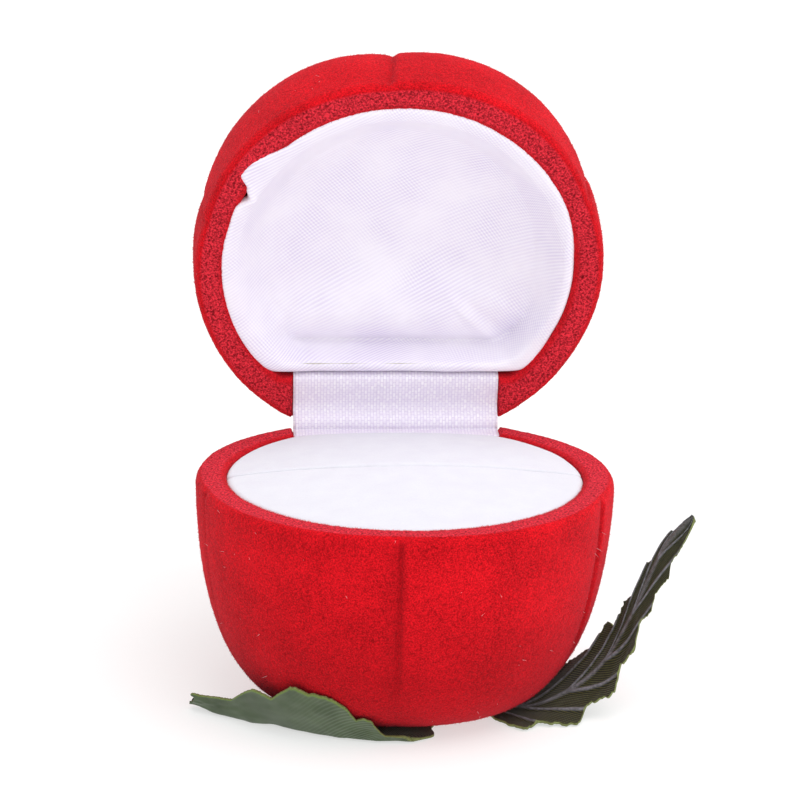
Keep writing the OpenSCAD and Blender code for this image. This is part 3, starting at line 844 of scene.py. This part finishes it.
def leaf(name, node, edges, reach_of, vein_list, thick, flip, relief_size, notch):
    """A leaf between its margins and its midrib. reach_of gives how far each half goes at share u of it."""
    n_u, n_v = 420, 71
    u = np.linspace(0.004, 0.996, n_u)
    v = np.linspace(-1, 1, n_v)
    t = u * (len(edges[0]) - 1)
    low, rib, high = (curve_at(e, t) for e in edges)
    go = np.where(v[None, :] < 0, reach_of(u, -1)[:, None], reach_of(u, 1)[:, None]) * np.abs(v)[None, :]
    side = np.where(v[None, :, None] < 0, low[:, None, :], high[:, None, :])
    middle = rib[:, None, :] + (side - rib[:, None, :]) * go[..., None]
    du = np.gradient(middle, axis=0)
    dv = np.gradient(middle, axis=1)
    normal = np.cross(du, dv)
    normal /= np.linalg.norm(normal, axis=2)[..., None] + 1e-9
    # Smooths the normals over the fold at the midrib.
    for _ in range(3):
        normal[:, 1:-1] = (normal[:, :-2] + 2 * normal[:, 1:-1] + normal[:, 2:]) / 4
    normal /= np.linalg.norm(normal, axis=2)[..., None] + 1e-9
    vein = np.zeros((n_u, n_v))
    width = np.linalg.norm(side - rib[:, None, :], axis=2)
    offset = go * np.sign(v)[None, :]
    for start, slope, side_sign, thin in vein_list:
        line = start + slope * np.abs(offset)
        gap = np.abs(u[:, None] - line) * 30
        on = np.exp(-((gap / thin) ** 2)) * (np.sign(offset) == side_sign)
        vein = np.maximum(vein, on)
    rib_line = np.exp(-((np.abs(offset) * np.maximum(width, 0.5) / 0.42) ** 2)) * (1 - 0.5 * u[:, None])
    vein = np.maximum(vein, rib_line)
    sample = np.stack(np.broadcast_arrays(u[:, None] * 30, offset * 8, 0), -1)
    lift = relief_size * (0.22 * noise(sample, 4.0, 51) + 0.05 * noise(sample, 1.2, 52)) - 0.14 * flip * vein
    middle = middle + normal * lift[..., None]
    # The tip is cut back a little between its two corners, and the stem end stands out.
    middle[..., 0] += notch * bell(v, 0.5, 0.22) * smooth_step(u, 0.955, 1.0)[:, None]
    middle[..., 0] += 1.6 * notch * bell(v, -0.35, 0.32) * (1 - smooth_step(u, 0.0, 0.1))[:, None]
    half = thick / 2 * normal * (1 + 0.8 * vein[..., None])
    points, faces, sides = slab(middle + flip * half, middle - flip * half)
    if flip > 0:
        faces = [f[::-1] for f in faces]
    uv = np.tile(sample[..., :2].reshape(-1, 2) * MM, (2, 1))
    edge = smooth_step(np.abs(v)[None, :] + 0 * u[:, None], 0.93, 1.0).ravel()
    marks = {"vein": np.tile(vein.ravel(), 2), "edge": np.tile(edge, 2),
             "along": np.tile((u[:, None] + 0 * v).ravel(), 2)}
    obj = add_mesh(name, points, faces, LEAF, side=sides, uv=uv, marks=marks)
    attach(obj, "base")
    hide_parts(node)
    return obj


LEFT = (
    [[2.6, -9.6, 0.22], [-2, -8.6, 0.22], [-6, -7, 0.22], [-9.5, -4.5, 0.22], [-14, -3.4, 0.3],
     [-20.2, -4.2, 0.8]],
    [[-0.1, -14.2, 0.3], [-3.8, -14, 0.25], [-8.6, -12.3, 0.25], [-13.6, -9.3, 0.3], [-17.6, -6.7, 0.4],
     [-20.5, -4.9, 0.6]],
    [[-0.4, -14.5, 0.5], [-3.6, -15, 2.6], [-8.6, -15.3, 5.2], [-13.6, -12.3, 4.7], [-17.4, -8.2, 2.7],
     [-20.3, -5.5, 1.9]])
RIGHT = (
    [[8.4, -8.4, 0.25], [11.4, -11.4, 0.3], [16.4, -9.9, 0.5], [19.8, -8.2, 3.2], [22.6, -5.8, 8.4],
     [25.4, -3.4, 13.2], [27.8, -0.6, 17.2]],
    [[7, -4.6, 0.25], [11.8, -6.6, 0.5], [16.4, -6, 2.4], [19.8, -5.2, 5.6], [22.2, -4.2, 10.4],
     [24.8, -2, 15], [27.9, 0, 17.4]],
    [[5.6, 2.6, 0.25], [13.3, 0.8, 0.8], [17.6, -2.3, 5], [20, -3.1, 8.2], [22, -2.9, 11.6],
     [24.9, -0.9, 15.2], [27.7, 0.3, 17.5]])
# Share of the reach kept at places along each margin: lobes that rise slowly to a point and drop.
LEFT_LOBES = [[0, 0.9], [0.05, 0.6], [0.13, 0.3], [0.165, 0.6], [0.2, 0.95], [0.235, 0.92], [0.262, 0.7],
              [0.3, 0.95], [0.34, 1.0], [0.44, 0.96], [0.5, 1.1], [0.567, 0.78], [0.6, 0.86], [0.655, 1.02], [0.7, 0.92],
              [0.75, 0.7], [0.84, 0.84], [0.93, 0.84], [1, 1]]
RIGHT_LOW_LOBES = [[0, 1], [0.15, 1.02], [0.2, 0.7], [0.32, 1.05], [0.36, 0.62], [0.44, 0.86], [0.49, 1.06],
                   [0.53, 0.55], [0.61, 1.05], [0.65, 0.62], [0.71, 1.0], [0.74, 0.7], [0.81, 1.0],
                   [0.84, 0.72], [0.92, 1.0], [1, 0.9]]
RIGHT_HIGH_LOBES = [[0, 1], [0.3, 0.98], [0.37, 0.86], [0.47, 1.1], [0.51, 0.72], [0.6, 0.95], [0.64, 0.74],
                    [0.74, 1.0], [0.77, 0.7], [0.86, 1.1], [0.89, 0.75], [1, 1]]


def margin(lobes, ragged, seed):
    """A function giving a margin's share of the reach at u, with a ragged cut."""
    places, shares = np.array(lobes).T

    def share(u):
        line = np.stack([u * 40, 0 * u, 0 * u], -1)
        return np.interp(u, places, shares) + ragged * (noise(line, 0.3, seed) + noise(line, 0.8, seed + 1))
    return share


def left_reach(u, half):
    return margin([[0, 1], [1, 1]] if half < 0 else LEFT_LOBES, 0.012, 61)(u)


def right_reach(u, half):
    return margin(RIGHT_LOW_LOBES if half < 0 else RIGHT_HIGH_LOBES, 0.03, 63 + half)(u)


def side_veins(count, start, slope, thin):
    return [(start + k / count, slope, half, thin) for k in range(count) for half in (-1, 1)]


leaf_left = leaf("fabric_leaf_left", "leaf_left", LEFT, left_reach, [], 0.22, -1, 0.8, 0.9)
leaf_right = leaf("fabric_leaf_right", "leaf_right", RIGHT, right_reach, side_veins(6, -0.04, 0.3, 0.5),
                  0.25, -1, 0.8, 0)

# ---- pieces that keep their CAD shape ----
for node, material in {
    "hinge_base_leaf": STEEL, "hinge_lid_leaf": STEEL, "hinge_pin": STEEL, "hinge_spring": STEEL,
    "pad_card": CARD, "pad_riser": CARD, "lining_card": CARD, "lining_wadding": WADDING, "leaf_glue": GLUE,
}.items():
    mesh = frame["nodes"][node].data
    for k in range(len(mesh.materials)):
        mesh.materials[k] = material

# ---- flock fibres ----
def is_rim_edge(p, closed_z, r_low, r_high):
    r = np.hypot(p[:, 0], p[:, 1])
    return (np.abs(closed_z) < 0.5) & (r > r_low) & (r < r_high)


def closed_lid(p):
    """Open-lid points as they are on the closed lid, z from the hinge plane."""
    dy, dz = p[..., 1] - HINGE_Y, p[..., 2] - RIM_Z
    c, s = math.cos(OPEN_ANGLE), math.sin(OPEN_ANGLE)
    return np.stack([p[..., 0], HINGE_Y + dy * c - dz * s, dy * s + dz * c], -1)


def cup_outside(p, n):
    return (np.hypot(p[:, 0], p[:, 1]) > 11) & (p[:, 2] < RIM_Z - 0.3) & (p[:, 2] > GLUE_T + 0.2) & (
        n[:, 0] * p[:, 0] + n[:, 1] * p[:, 1] > -1)


def lid_outside(p, n):
    q = closed_lid(p)
    return (q[:, 2] > 0.3) & ((np.linalg.norm(q, axis=1) > 18) & (q[:, 1] > -30))


def cup_inner_edge(p, n):
    return is_rim_edge(p, p[:, 2] - RIM_Z, 16.8, 17.5)


def lid_inner_edge(p, n):
    q = closed_lid(p)
    return is_rim_edge(q, q[:, 2], 17.2, 17.75)


for shell, body, outside, edge in ((base_shell, "base", cup_outside, cup_inner_edge),
                                   (lid_shell, "lid", lid_outside, lid_inner_edge)):
    p, n = scatter(shell, 9, outside)
    nap = fibres(f"flock_nap_{body}", p, n, 0.18, 0.5, 0.02, FIBRE)
    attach(nap, body)
    p, n = scatter(shell, 110, edge)
    q = closed_lid(p) if body == "lid" else p
    inner = q * (1 - 0.1 * np.array([1, 1, 0]))
    inward = (on_open_lid(inner) if body == "lid" else inner) - p
    inward /= np.linalg.norm(inward, axis=1)[:, None]
    fringe = fibres(f"flock_fringe_{body}", p, n, 0.2, 0.5, 0.02, FIBRE, 2.0 * inward)
    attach(fringe, body)
    p, n = scatter(shell, 0.035, outside)
    lint = fibres(f"lint_{body}", p + 0.08 * n, n, 0.55, 3.0, 0.022, LINT)
    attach(lint, body)

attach(base_shell, "base")
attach(lid_shell, "lid")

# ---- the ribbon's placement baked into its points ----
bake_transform(ribbon)

# ---- floor, light and camera ----
floor = bpy.data.meshes.new("floor")
size = 6.0
floor.from_pydata([(-size, -size, 0), (size, -size, 0), (size, size, 0), (-size, size, 0)], [],
                  [(0, 1, 2, 3)])
floor_obj = bpy.data.objects.new("floor", floor)
bpy.context.scene.collection.objects.link(floor_obj)
floor_paint = Paint("floor_white", Roughness=0.9, Specular_IOR_Level=0.1, Emission_Color=(1, 1, 1, 1),
                    Emission_Strength=0.58)
floor.materials.append(floor_paint.finish(Base_Color=floor_paint.mix(
    floor_paint.noise(40, 2.0), (0.42, 0.42, 0.42, 1), (0.43, 0.43, 0.43, 1))))

world = bpy.data.worlds.new("studio")
bpy.context.scene.world = world
world.use_nodes = True
world.node_tree.nodes["Background"].inputs["Color"].default_value = (1, 1, 1, 1)
world.node_tree.nodes["Background"].inputs["Strength"].default_value = 0.7


def sun(name, azimuth, elevation, strength, softness, colour=(1, 1, 1)):
    light = bpy.data.lights.new(name, "SUN")
    light.energy, light.angle, light.color = strength, math.radians(softness), colour
    obj = bpy.data.objects.new(name, light)
    a, e = math.radians(azimuth), math.radians(elevation)
    way = Vector((math.sin(a) * math.cos(e), -math.cos(a) * math.cos(e), math.sin(e)))
    obj.rotation_euler = way.to_track_quat("Z", "Y").to_euler()
    bpy.context.scene.collection.objects.link(obj)


sun("key", 64, 71, 1.8, 55)
sun("fill", 14, 22, 0.62, 70)

DISTANCE, ELEVATION, YAW, ROLL = 350, 16.9, 3.5, 0.85
LENS, SENSOR = 165.825, 36
AIM_UP, AIM_LEFT = 1.1411, 0.0746                  # degrees by which the camera aims past the rim's centre
target = Vector((0, 0, RIM_Z)) * MM
e, y = math.radians(ELEVATION), math.radians(YAW)
back = Vector((-math.sin(y) * math.cos(e), -math.cos(y) * math.cos(e), math.sin(e)))
camera = bpy.data.objects.new("camera", bpy.data.cameras.new("camera"))
camera.data.sensor_width = SENSOR
camera.data.lens = LENS
camera.data.clip_start = 0.01
camera.location = target + back * DISTANCE * MM
turn = (back.to_track_quat("Z", "Y").to_matrix() @ Matrix.Rotation(math.radians(ROLL), 3, "Z")
        @ Matrix.Rotation(math.radians(AIM_UP), 3, "X")
        @ Matrix.Rotation(math.radians(AIM_LEFT), 3, "Y"))
camera.rotation_euler = turn.to_euler()
bpy.context.scene.collection.objects.link(camera)
bpy.context.scene.camera = camera
bpy.context.scene.view_settings.view_transform = "Standard"
